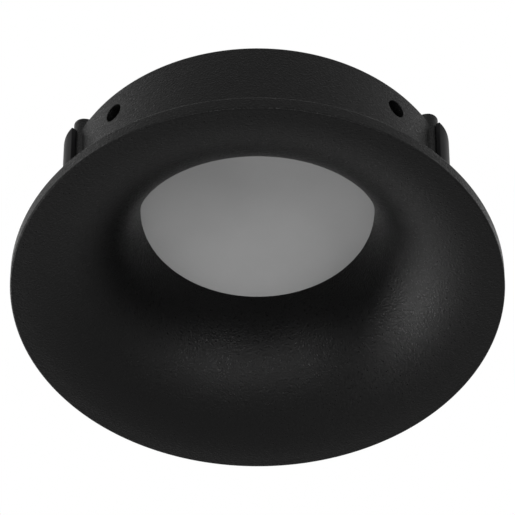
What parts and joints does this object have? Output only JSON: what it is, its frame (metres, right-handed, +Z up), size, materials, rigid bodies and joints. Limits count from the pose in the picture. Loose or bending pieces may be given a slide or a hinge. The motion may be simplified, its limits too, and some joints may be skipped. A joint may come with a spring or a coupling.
{
  "type": "recessed soffit downlight",
  "caption": "Round recessed downlight for a soffit: a deep trumpet trim with a frosted disc in its throat, a finned body behind it and hinged spring clips at the sides.",
  "frame": {"origin": "centre of the front plane of the flange, the plane that shows below the soffit", "axes": "+Z up into the soffit along the light's axis, +X towards the right-hand clip, -Y towards the near side, +Y along the cable gland"},
  "size_m": [0.1, 0.1, 0.0584],
  "materials": {
    "powder_coat": "fine textured black powder coat, matt to satin",
    "gloss_black": "gloss black lacquer on pressed steel",
    "frosted_disc": "frosted, unlit grey",
    "foam_rubber": "closed-cell foam",
    "black_rubber": "silicone rubber",
    "black_steel": "black oxide steel",
    "zinc_steel": "zinc-plated steel",
    "spring_steel": "rolled stainless spring steel",
    "bare_aluminium": "turned aluminium",
    "cast_aluminium": "blasted die-cast aluminium",
    "white_plastic": "moulded white plastic",
    "black_nylon": "moulded black nylon",
    "phosphor": "yellow phosphor resin",
    "white_board": "white solder mask",
    "green_board": "green solder mask",
    "component_plastic": "sleeved components",
    "thermal_rubber": "grey thermal pad",
    "wire_insulation": "silicone wire insulation",
    "brass": "brass"
  },
  "bodies": {
    "fitting": {"trim_ring": "powder_coat", "ceiling_gasket": "foam_rubber", "grub_screws": "black_steel", "diffuser_seal": "black_rubber", "diffuser": "frosted_disc", "diffuser_clamp": "bare_aluminium", "clamp_screws": "zinc_steel", "reflector": "white_plastic", "led_holder": "white_plastic", "led_array": "phosphor", "led_board": "white_board", "thermal_pad": "thermal_rubber", "board_screws": "zinc_steel", "heat_sink": "cast_aluminium", "body_seal": "black_rubber", "led_leads": "wire_insulation", "driver_board": "green_board", "driver_parts": "component_plastic", "terminal_block": "white_plastic", "terminal_screws": "brass", "cover_seal": "black_rubber", "rear_cover": "cast_aluminium", "cover_screws": "zinc_steel", "gland_washer": "black_rubber", "gland_body": "black_nylon", "gland_insert": "black_rubber", "gland_nut": "black_nylon", "clip_bracket_left": "gloss_black", "clip_bracket_right": "gloss_black", "bracket_screws_left": "black_steel", "bracket_screws_right": "black_steel", "pivot_pin_left": "spring_steel", "pivot_pin_right": "spring_steel", "clip_spring_left": "spring_steel", "clip_spring_right": "spring_steel"},
    "left_clip": {"clip_arm_left": "spring_steel", "clip_pad_left": "black_rubber"},
    "right_clip": {"clip_arm_right": "spring_steel", "clip_pad_right": "black_rubber"}
  },
  "joints": [
    {"name": "left_clip_hinge", "type": "hinge", "parent": "fitting", "child": "left_clip", "pos_m": [-0.0403, 0, 0.0105], "axis": [0, -1, 0], "range_deg": [0, 105]},
    {"name": "right_clip_hinge", "type": "hinge", "parent": "fitting", "child": "right_clip", "pos_m": [0.0403, 0, 0.0105], "axis": [0, 1, 0], "range_deg": [0, 105]}
  ]
}
